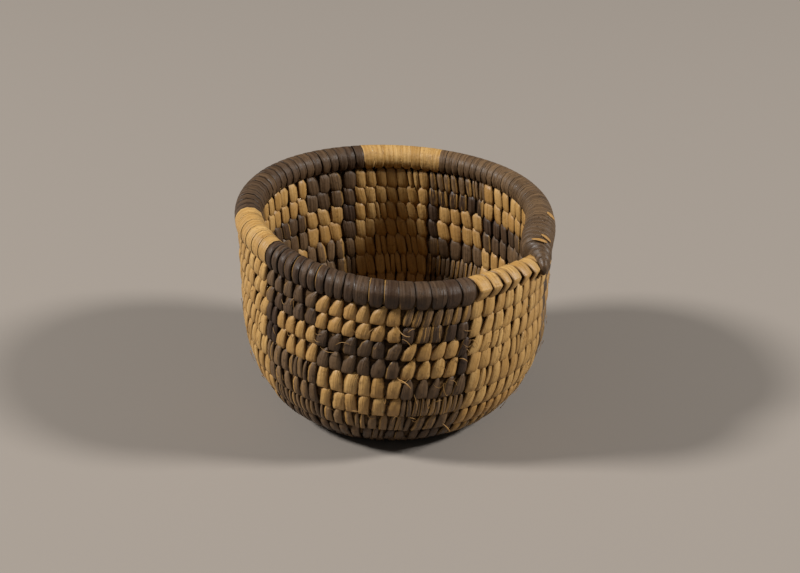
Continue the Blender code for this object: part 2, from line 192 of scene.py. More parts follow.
# A row of closed bands. Each is a loop of stations, and at each station a ring of points: the
# band's cross-section, as wide and as high as the station says. Values spread to (band, station),
# and edge is how far the marks let painted shade darken a band towards its sides.
def layBands(bands, section):
    values = np.broadcast_arrays(*bands.values())
    bands = {key: value[..., None] for key, value in zip(bands, values)}
    across, up = section.T
    raised = bands["lift"] * up
    along = bands["along"] + bands["normalAlong"] * raised
    out = bands["out"] + bands["normalOut"] * raised
    aside = across * bands["halfWidth"]
    points = place(bands["turned"] + aside / radiusAt(along), along, out)
    index = np.arange(aside.size).reshape(aside.shape)
    ahead = np.roll(index, -1, axis=1)
    quads = np.stack((index, ahead, np.roll(ahead, -1, axis=2), np.roll(index, -1, axis=2)), axis=-1)
    run = np.cumsum(np.linalg.norm(np.diff(points, axis=1, prepend=points[:, :1]), axis=-1), axis=1)
    marks = {
        "splint": vectors(across * bands["edge"], bands["rise"], bands["seed"]),
        "fibre": vectors(aside / mm, run / mm, bands["seed"] * seedSpread),
        "wear": np.broadcast_to(bands["wear"], run.shape),
        "pale": np.broadcast_to(bands["pale"], run.shape),
    }
    return points.reshape(-1, 3), quads.reshape(-1, 4), marks


def addObject(name, data):
    holder = bpy.data.objects.new(name, data)
    bpy.context.scene.collection.objects.link(holder)
    return holder


# Puts points and faces into a mesh, with the marks that the materials read
def addPiece(name, points, faces, marks, slotName):
    mesh = bpy.data.meshes.new(name)
    mesh.from_pydata(points, [], faces)
    for key, values in marks.items():
        isVector = key in ("splint", "fibre")
        attribute = mesh.attributes.new(key, "FLOAT_VECTOR" if isVector else "FLOAT", "POINT")
        values = np.reshape(values, (-1, 3 if isVector else 1))
        flat = np.array(np.broadcast_to(values, (len(points), values.shape[1])), np.float32).ravel()
        attribute.data.foreach_set("vector" if isVector else "value", flat)
    mesh.materials.append(materials[slotName])
    mesh.shade_smooth()
    return addObject(name, mesh)


# A grid of points closed round its second way, its two ends closed by a point each
def skinTube(points):
    count, ring = points.shape[:2]
    index = np.arange(count * ring).reshape(count, ring)
    beside = np.roll(index, -1, axis=1)
    quads = np.stack((index[:-1], beside[:-1], beside[1:], index[1:]), axis=-1).reshape(-1, 4)
    first, last = count * ring, count * ring + 1
    startCap = vectors(beside[0], index[0], first)
    endCap = vectors(index[-1], beside[-1], last)
    ends = np.stack((points[0].mean(axis=0), points[-1].mean(axis=0)))
    faces = quads.tolist() + startCap.tolist() + endCap.tolist()
    return np.concatenate((points.reshape(-1, 3), ends)), faces


# Materials

# Links each input to the socket given for it, or sets its value
def wire(tree, node, inputs):
    for socket, source in inputs.items():
        if isinstance(source, bpy.types.NodeSocket):
            tree.links.new(source, node.inputs[socket])
        else:
            node.inputs[socket].default_value = source


def addNode(tree, kind, inputs={}, **settings):
    node = tree.nodes.new("ShaderNode" + kind)
    for key, value in settings.items():
        setattr(node, key, value)
    wire(tree, node, inputs)
    return node


def maths(tree, operation, first, second=0.0, clamp=False):
    inputs = {0: first, 1: second}
    return addNode(tree, "Math", inputs, operation=operation, use_clamp=clamp).outputs[0]


def times(tree, first, second):
    return maths(tree, "MULTIPLY", first, second)


# How far a value lies between two limits, eased, from 0 to 1
def between(tree, value, low, high):
    inputs = {"Value": value, "From Min": low, "From Max": high}
    return addNode(tree, "MapRange", inputs, interpolation_type="SMOOTHSTEP").outputs["Result"]


def mix(tree, factor, first, second):
    return addNode(tree, "Mix", {0: factor, 6: first, 7: second}, data_type="RGBA").outputs[2]


def noise(tree, vector, scale, detail, roughness=0.5):
    inputs = {"Vector": vector, "Scale": scale, "Detail": detail, "Roughness": roughness}
    return addNode(tree, "TexNoise", inputs).outputs["Fac"]


# A mark of the mesh: a vector, or a plain value with the output Fac
def mark(tree, name, output="Vector"):
    return addNode(tree, "Attribute", attribute_name=name).outputs[output]


# A node group that takes a vector and some values and gives values
def newGroup(name, vector, values, results):
    group = bpy.data.node_groups.new(name, "ShaderNodeTree")
    group.interface.new_socket(vector, in_out="INPUT", socket_type="NodeSocketVector")
    for socket in values:
        group.interface.new_socket(socket, in_out="INPUT", socket_type="NodeSocketFloat")
    for socket in results:
        group.interface.new_socket(socket, in_out="OUTPUT", socket_type="NodeSocketFloat")
    return group, group.nodes.new("NodeGroupInput").outputs, group.nodes.new("NodeGroupOutput")


plantFibre = {
    "coarse": (1.0, 3.0, 0.6),  # scale, detail and roughness of the noise
    "fine": (2.3, 2.0, 0.6),
    "streaks": (0.34, 0.66),  # from which to which value of the coarse noise
    "threads": (0.56, 0.66),  # and of the fine one
    "coarseHeight": 0.65, "fineHeight": 0.35,
}


# Lines along a splint: coarse and fine noise stretched along the fibre, with thin separate lines
# where the fine one peaks
def makeFibreGroup():
    results = ("Streaks", "Threads", "Height")
    group, given, result = newGroup("plantFibre", "Fibre", ("Lines", "Stretch"), results)
    size = {"X": given["Lines"], "Y": given["Stretch"], "Z": 1.0}
    factors = {0: given["Fibre"], 1: addNode(group, "CombineXYZ", size).outputs["Vector"]}
    stretched = addNode(group, "VectorMath", factors, operation="MULTIPLY").outputs["Vector"]
    coarse = noise(group, stretched, *plantFibre["coarse"])
    fine = noise(group, stretched, *plantFibre["fine"])
    coarseHeight = times(group, coarse, plantFibre["coarseHeight"])
    fineHeight = times(group, fine, plantFibre["fineHeight"])
    wire(group, result, {
        "Streaks": between(group, coarse, *plantFibre["streaks"]),
        "Threads": between(group, fine, *plantFibre["threads"]),
        "Height": maths(group, "ADD", coarseHeight, fineHeight),
    })
    return group


stitchShade = {
    "edge": (0.62, 1.0),  # where painted shade darkens it, across the half width
    "tuckedShade": (0.13, -0.04),  # and where painted shade darkens it, up the course towards its lower end
    "bare": (0.25, 0.75),  # how pale a stitch is where its threads are bare
    "paleStart": 1.06,  # across the half width, where bare wood begins
    "paleReach": 0.9,  # how far in it comes on the palest stitch
    "paleWander": 0.35, "paleBlend": 0.16,  # how its border wanders, and how broad it is
}


# What sets a stitch off from the next: a random tone, masks of painted shade for its edges and its
# lower end, and a mask for the bare wood along one side
def makeStitchGroup():
    results = ("Tone", "EdgeShade", "PaleEdge", "Bare", "TuckedShade")
    group, given, result = newGroup("stitchShade", "Splint", ("Pale", "Streaks"), results)
    parts = addNode(group, "SeparateXYZ", {0: given["Splint"]}).outputs
    reach = times(group, given["Pale"], stitchShade["paleReach"])
    streaks = maths(group, "SUBTRACT", given["Streaks"], 0.5)
    wander = times(group, streaks, stitchShade["paleWander"])
    start = maths(group, "ADD", maths(group, "SUBTRACT", stitchShade["paleStart"], reach), wander)
    full = maths(group, "ADD", start, stitchShade["paleBlend"])
    tone = addNode(group, "TexWhiteNoise", {"W": parts["Z"]}, noise_dimensions="1D")
    wire(group, result, {
        "Tone": tone.outputs["Value"],
        "EdgeShade": between(group, maths(group, "ABSOLUTE", parts["X"]), *stitchShade["edge"]),
        "PaleEdge": between(group, parts["X"], start, full),
        "Bare": between(group, given["Pale"], *stitchShade["bare"]),
        "TuckedShade": between(group, parts["Y"], *stitchShade["tuckedShade"]),
    })
    return group


handlingGrime = {
    "clouds": (230, 3.0),  # scale and detail of the noise
    "grains": (2600, 2.0),
    "lumps": (1500, 2.0),
    "grime": (0.38, 0.68),  # from which to which value of the clouds
    "specks": (0.60, 0.72),  # and of the grains
}


# Grime, dust and lumps: three scales of cloud noise in the object's own space
def makeGrimeGroup():
    group, given, result = newGroup("handlingGrime", "Place", (), ("Grime", "Specks", "Lumps"))
    clouds = noise(group, given["Place"], *handlingGrime["clouds"])
    grains = noise(group, given["Place"], *handlingGrime["grains"])
    wire(group, result, {
        "Grime": between(group, clouds, *handlingGrime["grime"]),
        "Specks": between(group, grains, *handlingGrime["specks"]),
        "Lumps": noise(group, given["Place"], *handlingGrime["lumps"]),
    })
    return group


fibreGroup = makeFibreGroup()
stitchGroup = makeStitchGroup()
grimeGroup = makeGrimeGroup()


def useGroup(tree, group, **values):
    return addNode(tree, "Group", values, node_tree=group).outputs


def useGrime(tree):
    return useGroup(tree, grimeGroup, Place=addNode(tree, "TexCoord").outputs["Object"])


def bump(tree, height, strength, distance):
    inputs = {"Strength": strength, "Distance": distance, "Height": height}
    return addNode(tree, "Bump", inputs).outputs["Normal"]


def startMaterial(name):
    material = bpy.data.materials.new(name)
    material.use_nodes = True
    return material, material.node_tree, material.node_tree.nodes["Principled BSDF"]


# edge is the dark colour of thin threads, grime and specks, and also of the painted shade at the edges and
# lower ends of stitches and wraps
splintFinish = {
    "willow": {
        "pale": (0.60, 0.385, 0.145, 1), "base": (0.41, 0.237, 0.072, 1),
        "amber": (0.33, 0.170, 0.040, 1), "edge": (0.17, 0.080, 0.020, 1),
        "worn": (0.38, 0.200, 0.055, 1), "threads": 0.30, "lines": 3.4, "roughness": (0.42, 0.64),
        "bump": 0.7, "gloss": 0.42,
    },
    "dark": {
        "pale": (0.075, 0.044, 0.026, 1), "base": (0.024, 0.0130, 0.0080, 1),
        "amber": (0.052, 0.027, 0.014, 1), "edge": (0.010, 0.006, 0.004, 1),
        "worn": (0.190, 0.115, 0.056, 1), "threads": 0.0, "lines": 4.2, "roughness": (0.40, 0.62),
        "bump": 0.7, "gloss": 0.27,
    },
    "worn": {
        "pale": (0.32, 0.195, 0.085, 1), "base": (0.140, 0.086, 0.043, 1),
        "amber": (0.055, 0.032, 0.017, 1), "edge": (0.035, 0.020, 0.010, 1),
        "worn": (0.24, 0.150, 0.075, 1), "threads": 0.15, "lines": 3.8, "roughness": (0.55, 0.75),
        "bump": 0.8, "gloss": 0.22,
    },
}
splint = {
    "bareWood": (0.40, 0.225, 0.068, 1),
    "stretch": 0.16,  # of the fibre's noise, along it
    "amber": 0.55, "threads": 0.9,  # how far both show at most
    "rubbed": 0.55, "rubbedStreaks": 0.6,  # how far wear shows, and how much more on streaks
    "edges": 0.7, "tuckedShade": 0.6, "grime": 0.22, "specks": 0.45,  # how far they darken: edges and lower ends as painted shade, grime and specks as dirt
    "lumps": 0.8,  # their share in the bump
    "bumpDepth": 0.14 * mm,
}


# A splint: streaks of two tones along the fibre, each stitch leaning to amber by chance, darkened by
# painted shade at its edges and lower end, rubbed where it is worn. Bare wood shows along one edge and in
# thin threads.
def makeSplint(name, finish):
    material, tree, shader = startMaterial(name + "Splint")
    fibre = useGroup(tree, fibreGroup, Fibre=mark(tree, "fibre"), Lines=finish["lines"],
                     Stretch=splint["stretch"])
    stitch = useGroup(tree, stitchGroup, Splint=mark(tree, "splint"), Pale=mark(tree, "pale", "Fac"),
                      Streaks=fibre["Streaks"])
    grime = useGrime(tree)
    colour = mix(tree, fibre["Streaks"], finish["base"], finish["pale"])
    colour = mix(tree, times(tree, stitch["Tone"], splint["amber"]), colour, finish["amber"])
    patchy = maths(tree, "ADD", splint["rubbed"], times(tree, fibre["Streaks"], splint["rubbedStreaks"]))
    rubbed = maths(tree, "MULTIPLY", mark(tree, "wear", "Fac"), patchy, clamp=True)
    colour = mix(tree, rubbed, colour, finish["worn"])
    threads = times(tree, fibre["Threads"], times(tree, stitch["Bare"], splint["threads"]))
    bare = maths(tree, "MAXIMUM", stitch["PaleEdge"], threads)
    colour = mix(tree, bare, colour, splint["bareWood"])
    darker = (
        (fibre["Threads"], finish["threads"]),
        (stitch["EdgeShade"], splint["edges"]),
        (stitch["TuckedShade"], splint["tuckedShade"]),
        (grime["Grime"], splint["grime"]),
        (grime["Specks"], splint["specks"]),
    )
    for mask, share in darker:
        colour = mix(tree, times(tree, mask, share), colour, finish["edge"])
    smooth, rough = finish["roughness"]
    height = maths(tree, "ADD", fibre["Height"], times(tree, grime["Lumps"], splint["lumps"]))
    wire(tree, shader, {
        "Base Color": colour,
        "Roughness": maths(tree, "ADD", smooth, times(tree, fibre["Streaks"], rough - smooth)),
        "Specular IOR Level": finish["gloss"],
        "Normal": bump(tree, height, finish["bump"], splint["bumpDepth"]),
    })
    return material


# base and pale are darkened past the straws' own colour as painted shade, since the straws show only down
# the gaps between stitches
grass = {
    "base": (0.055, 0.028, 0.011, 1), "pale": (0.150, 0.082, 0.030, 1), "dust": (0.02, 0.011, 0.005, 1),
    "dusty": 0.5, "lines": 4.0, "stretch": 0.25, "roughness": 0.8, "gloss": 0.2, "bump": 0.6,
    "bumpDepth": 0.15 * mm,
}


# Grass: round straws side by side along the coil, brown with dust between them
def makeGrass():
    material, tree, shader = startMaterial("grassStraw")
    fibre = useGroup(tree, fibreGroup, Fibre=mark(tree, "fibre"), Lines=grass["lines"],
                     Stretch=grass["stretch"])
    dusty = times(tree, useGrime(tree)["Grime"], grass["dusty"])
    colour = mix(tree, fibre["Streaks"], grass["base"], grass["pale"])
    wire(tree, shader, {
        "Base Color": mix(tree, dusty, colour, grass["dust"]),
        "Roughness": grass["roughness"],
        "Specular IOR Level": grass["gloss"],
        "Normal": bump(tree, fibre["Height"], grass["bump"], grass["bumpDepth"]),
    })
    return material


materials = {f"{name}_splint": makeSplint(name, finish) for name, finish in splintFinish.items()}
materials["grass_bundle"] = makeGrass()
print("materials ready:", ", ".join(materials))


# A piece that stands for a node
def handIn(name, mesh, slotName, *nodes):
    piece = addPiece(name, *mesh, slotName)
    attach(piece, "root")
    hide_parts(*nodes)


# A node's own random draws, the same in each run
def drawsFor(node):
    return np.random.default_rng(sorted(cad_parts).index(node) + stitch["firstSeed"])


# Stitches

stitch = {
    "bundleShare": 0.72,  # of half the wall's thickness: where a stitch's edges lie
    "wander": 0.09,  # of the step, by which a stitch strays to the side
    "uneven": 0.09,  # of the width, by which its outline is uneven
    "bluntness": (0.65, 1.20),  # powers that blunt or sharpen the outline
    "outline": (0.06, 1.08),  # its least and greatest width
    "widths": (0.92, 1.07),  # of the row's width
    "splits": (0.36, 0.60),  # where a stitch splits
    # what chance adds to the row's values
    "slants": (-0.2, 0.2), "tipLeans": (-0.3, 0.2), "reaches": (-0.08, 0.08), "wears": (-0.25, 0.25),
    "paleChance": (0.3, 0.5),  # of pale wood on a stitch: at least, and more in a paler row
    "pales": (0.3, 0.9),
    "crowns": (0.70, 1.0),  # of the room over the bundle
    "crownEnds": ((-0.1625, 0), (0.0875, 1), (0.9666667, 1), (1.2, 0.3)),  # its share up the course
    "inside": 0.5,  # crown of the inner face, as a share of the outer one's
    "normalUp": 0.5,  # how far the crown leans up the profile
    "reachFrom": (0.5, 1.08),  # from nothing at one height to all at the other
    "tipFrom": (0.3, 0.8),
    "stagger": (0.02, 0.25),  # of a stitch up the course, and more with its reach
    "pivot": 0.4,  # height about which it slants
    "innerSlant": 0.7,
    "oval": 0.9,  # of the bundle, for the way that a station faces
    "bulge": 0.38 * mm,  # how far the wall's upper rows stand out to the left and right
    "bulgeRows": 4, "bulgePower": 6, "firstSeed": 11,
}

# Stations round a stitch: rise, as a share of the course, and stand-off, as a share of the bundle.
# Nine go up the outside, the others down the inside and back through the course below.
stitchPath = np.array((
    (-0.05, 0.40), (0.03, 0.68), (0.12, 0.85), (0.27, 0.96), (0.46, 1.00), (0.64, 0.98), (0.80, 0.93),
    (0.95, 0.87), (1.08, 0.80), (1.10, -0.35), (1.08, -0.88), (0.82, -1.02), (0.26, -1.02), (-0.22, -0.86),
))

# Widths at those stations, as shares of the widest
stitchCuts = {
    "seed": (0.42, 0.74, 0.94, 1.03, 1.02, 0.93, 0.74, 0.46, 0.12, 0.30, 0.66, 1.02, 1.00, 0.34),
    "tablet": (0.76, 0.95, 1.02, 1.02, 1.00, 0.98, 0.91, 0.70, 0.28, 0.30, 0.66, 1.02, 1.00, 0.34),
    "block": (0.88, 0.98, 1.00, 1.00, 1.00, 1.00, 0.97, 0.88, 0.52, 0.34, 0.70, 1.02, 1.00, 0.40),
    "slender": (0.34, 0.60, 0.85, 1.00, 1.04, 1.00, 0.86, 0.62, 0.20, 0.30, 0.66, 1.02, 1.00, 0.34),
}

# Cross-section of a stitch: across and up
stitchSection = np.array(((-1.0, 0.0), (-0.74, 0.94), (0.74, 0.94), (1.0, 0.0), (0.0, -0.5)))

# How a row is sewn: outline, step in millimetres, gap, lean of the whole stitch and of its tip as
# shares of the step, how far the tip reaches on, share of split stitches, wear, pale wood
rowManners = {
    "seeds": ("seed", 1.47, 0.00, 0.24, 0.50, 0.05, 0.00, 0.40, 0.25),
    "panel": ("slender", 1.34, -0.02, 0.38, 0.25, 0.36, 0.10, 0.12, 0.10),
    "band": ("block", 1.30, 0.00, 0.10, 0.20, 0.00, 0.00, 0.70, 0.00),
    "tall": ("tablet", 1.45, 0.02, 0.14, 0.35, 0.04, 0.16, 0.35, 0.20),
    "square": ("block", 1.45, 0.01, 0.20, 0.45, -0.06, 0.10, 0.35, 0.20),
    "dark": ("seed", 1.47, 0.01, 0.26, 0.50, 0.03, 0.00, 0.26, 0.55),
    "dull": ("seed", 1.47, 0.01, 0.22, 0.45, 0.00, 0.00, 0.55, 0.50),
    "barred": ("block", 1.38, 0.05, 0.22, 0.30, 0.00, 0.00, 0.06, 1.00),
    "streaked": ("slender", 0.92, 0.02, 0.50, 0.40, 0.12, 0.10, 0.90, 1.20),
    "strips": ("tablet", 0.62, 0.02, 0.14, 0.30, 0.00, 0.05, 0.90, 1.20),
    "rubbed": ("tablet", 1.25, 0.04, 0.20, 0.40, 0.00, 0.25, 0.85, 0.90),
    "edge": ("slender", 1.30, 0.04, 0.30, 0.40, 0.10, 0.00, 0.10, 0.30),
    "foot": ("block", 1.25, 0.00, 0.16, 0.30, -0.02, 0.20, 0.46, 0.45),
    "bare": ("block", 1.20, 0.00, 0.10, 0.20, 0.00, 0.00, 0.00, 2.40),
}


# One row: even steps along the course with a little wandering, and some stitches split in two. Each
# value is a column.
def planRow(course, first, last, mannerName, rng):
    cut, pitch, gap, slant, tipLean, reach, split, wear, pale = rowManners[mannerName]
    first, last = math.radians(first), math.radians(last)
    around = radiusAt(rimAlong if course >= firstWall else courseEdge(course + 1, last))
    count = max(1, round((last - first) * around / (pitch * mm)))
    step = (last - first) / count
    turned = first + step * (np.arange(count) + 0.5 + stitch["wander"] * rng.uniform(-1, 1, count))
    width = step * (1 - gap) * rng.uniform(*stitch["widths"], count)
    isSplit = rng.random(count) < split
    halves = np.where(isSplit, rng.uniform(*stitch["splits"], count), 1.0)
    rest = (1 - halves[isSplit]) * width[isSplit]
    aside = np.concatenate((turned - (1 - halves) * width / 2, (turned + halves * width / 2)[isSplit]))
    width = np.concatenate((halves * width, rest))
    total = len(width)
    least, more = stitch["paleChance"]
    plan = {
        "course": np.full(total, float(course)),
        "turned": aside,
        "width": width,
        "cut": np.tile(stitchCuts[cut], (total, 1)),
        "slant": (slant + rng.uniform(*stitch["slants"], total)) * step,
        "tipLean": tipLean + rng.uniform(*stitch["tipLeans"], total),
        "reach": reach + rng.uniform(*stitch["reaches"], total),
        "wear": np.clip(wear + rng.uniform(*stitch["wears"], total) * (wear > 0), 0, 1),
        "pale": pale * (rng.random(total) < least + more * pale) * rng.uniform(*stitch["pales"], total),
    }
    return {key: values.reshape(total, -1) for key, values in plan.items()}


# A stitch's loop: its outline follows the cut, its narrowing top keeps to the right, the whole
# leans, and each ring stands off along the oval bundle's normal. The upper rows bulge by a power
# of the azimuth's cosine.
def layStitches(plan, rng):
    each = (len(plan["turned"]), 1)
    rise, stand = stitchPath.T
    edge = courseEdge(plan["course"], plan["turned"])
    tall = courseEdge(plan["course"] + 1, plan["turned"]) - edge
    outside = stand > 0
    above = np.interp(rise, stitch["reachFrom"], (0, 1))
    least, more = stitch["stagger"]
    stagger = rng.uniform(-1, 1, each) * (least + more * np.abs(plan["reach"]))
    rises = rise + (plan["reach"] * above + stagger) * outside
    blunt = rng.uniform(*stitch["bluntness"], each)
    uneven = rng.uniform(-1, 1, plan["cut"].shape) * stitch["uneven"]
    wide = np.clip(plan["cut"] ** blunt + uneven, *stitch["outline"])
    bundleReach = basket["courseHalf"] * stitch["bundleShare"]
    crown = (basket["courseHalf"] - bundleReach) * rng.uniform(*stitch["crowns"], each)
    half = plan["width"] / 2
    tip = np.interp(rises, stitch["tipFrom"], (0, 1))
    keepRight = (1 - wide) * half * plan["tipLean"] * tip
    leaning = (rises - stitch["pivot"]) * plan["slant"] * np.where(outside, 1, stitch["innerSlant"])
    lean = np.arctan2(rises - 0.5, stand * stitch["oval"])
    ends = np.interp(rises, *np.transpose(stitch["crownEnds"]))
    topRows = np.clip(1 - (courses - 1 - plan["course"]) / stitch["bulgeRows"], 0, 1)
    bulge = stitch["bulge"] * topRows * np.cos(basket["join"] - plan["turned"]) ** stitch["bulgePower"]
    return plan | {
        "turned": plan["turned"] - keepRight - leaning,
        "along": edge + rises * tall,
        "out": stand * bundleReach + bulge * outside,
        "normalAlong": np.sin(lean) * stitch["normalUp"],
        "normalOut": np.cos(lean),
        "halfWidth": wide * half * radiusAt(edge),
        "lift": crown * np.where(outside, ends, stitch["inside"]),
        "rise": rises,
        "edge": 1.0,
        "seed": rng.random(each),
    }


# Stitches for a node; a row gives its course, first and last angle, and manner
def stitchPatch(node, finish, rows):
    rng = drawsFor(node)
    plans = [planRow(*row, rng) for row in rows]
    plan = {key: np.concatenate([row[key] for row in plans]) for key in plans[0]}
    handIn(f"{node}_stitches", layBands(layStitches(plan, rng), stitchSection), f"{finish}_splint", node)


# Each sector of the basket has a light panel and then a checkerboard
sectors = {
    "front": ("right_light", "front"),
    "left": ("left_light", "left_back"),
    "back": ("back_light", "right_back"),
}
lightPanels, checkerboards = zip(*sectors.values())

# Base and foot: dark, with bare wood on the foot's top course under each light panel
for side, (light, checkerboard) in sectors.items():
    first, middle = columns[light]
    last = columns[checkerboard][-1]
    stitchPatch(f"base_{side}", "dark", [(c, first, last, "foot") for c in range(firstFoot)])
    rows = [(c, first, last, "foot") for c in range(firstFoot, firstWall - 1)]
    rows += [(firstWall - 1, first, middle, "bare"), (firstWall - 1, middle, last, "foot")]
    stitchPatch(f"foot_{side}", "dark", rows)

for name in lightPanels:
    rows = [(c, *columns[name], "panel" if c > firstWall else "band") for c in range(firstWall, courses)]
    stitchPatch(f"{name}_panel", "willow", rows)

# Patches of a checkerboard: first and last course from the top down, first and last column, finish
# and how each row is sewn
patches = {
    "upper_right": ((1, 2), (0, 2), "dark", ("streaked", "barred")),
    "upper_centre": ((1, 2), (2, 4), "willow", ("seeds", "seeds")),
    "upper_left": ((1, 2), (4, 6), "dark", ("dull", "dark")),
    "middle_right_edge": ((3, 4), (0, 1), "dark", ("edge", "edge")),
    "middle_right": ((3, 4), (1, 2), "willow", ("seeds", "seeds")),
    "middle_centre": ((3, 4), (2, 4), "dark", ("dark", "dull")),
    "middle_left": ((3, 4), (4, 5), "willow", ("seeds", "seeds")),
    "middle_left_edge": ((3, 4), (5, 6), "dark", ("edge", "edge")),
    "lower_right": ((5, 7), (0, 2), "dark", ("dull", "strips", "rubbed")),
    "lower_centre": ((5, 6), (2, 4), "willow", ("tall", "square")),
    "lowest_centre": ((7, 7), (2, 4), "worn", ("rubbed",)),
    "lower_left": ((5, 7), (4, 6), "dark", ("rubbed", "rubbed", "rubbed")),
}
for name in checkerboards:
    for patch, ((upper, lower), columnRange, finish, manners) in patches.items():
        first, last = (columns[name][column] for column in columnRange)
        rows = [(courses - row, first, last, manners[row - upper]) for row in range(upper, lower + 1)]
        stitchPatch(f"{name}_{patch}", finish, rows)
print("stitches laid")


# Rim wraps

rim = {
    "strays": (-0.05, 0.05),  # of a wrap along the coil, as shares of a step
    "widths": (0.95, 1.05),  # least and most, of the manner's values
    "sways": (0.7, 1.3),
    "lifts": (0.75, 1.0),
    "folds": (0.7, 1.1),
    "wears": (-0.15, 0.15),  # what chance adds to the wear
    "pales": (0.12, 0.34),
    "foldSpread": 10,  # angles in degrees
    "flankShare": 0.4,  # how far a wrap draws in beside a fold, as a share of the fold
    "flankAt": 45, "flankSpread": 24,
    "thinAt": -25, "thinSpread": 50,
    "drapeAt": -58, "drapeSpread": 20,
    "swayAt": math.radians(25),
}

# Degrees turned, and how far the wraps reach from the coil's middle there, in millimetres: outward,
# inward, up and down. They cover the coil's end and its beginning together.
rimReach = np.array((
    (0, 1.70, 0.95, 0.95, 2.0), (5, 1.62, 0.98, 0.97, 2.0), (12, 1.38, 1.07, 1.07, 1.9),
    (20, 1.28, 1.24, 1.24, 1.65), (30, 1.35, 1.35, 1.35, 1.45), (100, 1.35, 1.35, 1.35, 1.4),
    (125, 1.45, 1.37, 1.35, 1.55), (150, 1.75, 1.48, 1.35, 2.0), (170, 1.64, 1.45, 1.35, 1.9),
    (200, 1.40, 1.40, 1.35, 1.6), (250, 1.35, 1.35, 1.35, 1.4), (300, 1.36, 1.46, 1.35, 1.5),
    (320, 1.36, 1.60, 1.37, 1.7), (340, 1.38, 1.80, 1.40, 1.9), (350, 1.62, 1.92, 1.45, 2.0),
    (356, 1.72, 1.92, 1.42, 1.9), (361, 1.88, 1.70, 1.15, 1.9), (364, 2.10, 1.20, 0.70, 2.2),
    (367, 2.25, -0.30, -0.20, 2.4), (370, 2.25, -1.60, -1.20, 2.3),
))

# Stations round the rim coil from its underside up the outside, in degrees, and the wrap's width
rimPath = np.array((
    (-90, 0.22), (-68, 0.44), (-54, 0.70), (-38, 0.90), (-14, 0.99), (6, 1.00), (15, 1.00), (20, 1.00),
    (25, 1.00), (36, 1.00), (56, 1.00), (82, 1.00), (112, 1.00), (144, 1.00), (178, 0.98), (212, 0.78),
    (244, 0.42),
))

# Cross-section of a wrap
rimSection = np.array((
    (-1.0, 0.0), (-0.86, 0.72), (-0.4, 1.0), (0.4, 1.0), (0.86, 0.72), (1.0, 0.0), (0.0, -0.6),
))


# Edges of wraps at even steps of some millimetres between two angles
def spread(first, last, pitch):
    count = max(2, round(math.radians(last - first) * radiusAt(rimAlong) / (pitch * mm)))
    return np.linspace(first, last, count + 1)


# Edges of the wraps in degrees turned, finish, and how they are laid
rimNodes = {
    "rim_right_light": ((0, 4.7, 10.1, 16.3, 23.1, 28.8, 33.2, 38.5, 45.0), "willow", "folded"),
    "rim_front_first_half": (spread(44.2, 86, 1.45), "dark", "flat"),
    "rim_front_second_half": (spread(86, 126, 1.05), "dark", "cord"),
    "rim_left_light": (spread(126, 156.5, 1.35), "willow", "smooth"),
    "rim_left_back_first_half": (spread(156.5, 197, 1.1), "dark", "rubbed"),
    "rim_left_back_second_half": (spread(197, 237, 1.1), "dark", "rubbed"),
    "rim_back_light": (spread(237, 270, 1.2), "willow", "smooth"),
    "rim_right_back_first_half": (spread(270, 310, 0.9), "dark", "faded"),
    "rim_right_back_second_half": (spread(310, 349, 0.7), "dark", "faded"),
}

# Thickness in millimetres, gap and sway as shares of a step, how much narrower outside, how sharp a
# fold and at which angle, how far the lower ends drape, how dark the painted shade on the edges,
# wear, share of pale wood
rimManners = {
    "folded": (0.24, 0.10, 0.26, 0.22, 0.17, 14, 0.02, 1.00, 0.15, 0.0),
    "flat": (0.07, 0.00, 0.06, 0.06, 0.03, 20, 0.16, 0.92, 0.05, 0.7),
    "cord": (0.20, 0.00, 0.20, 0.05, 0.00, 20, 0.16, 1.00, 0.08, 0.4),
    "smooth": (0.015, -0.18, 0.08, 0.00, 0.02, 50, 0.03, 0.30, 0.00, 0.0),
    "rubbed": (0.07, 0.00, 0.10, 0.05, 0.00, 20, 0.08, 0.88, 0.25, 0.1),
    "faded": (0.05, 0.00, 0.10, 0.05, 0.00, 20, 0.08, 0.84, 0.62, 0.2),
}


# A bell curve round an angle
def bellCurve(angle, middle, width):
    return np.exp(-((angle - middle) / width) ** 2)


# A place on the wraps: an ellipse that reaches as the table says, swollen and then sunk
def rimLoop(turned, angle, swelling, sunk):
    outward, inward, up, down = (
        np.interp(np.degrees(turned), rimReach[:, 0], column) * mm for column in rimReach.T[1:]
    )
    along = (up - down) / 2 + ((up + down) / 2 * swelling - sunk) * np.sin(angle)
    out = (outward - inward) / 2 + ((outward + inward) / 2 * swelling - sunk) * np.cos(angle)
    return rimMiddle(turned) + along, out


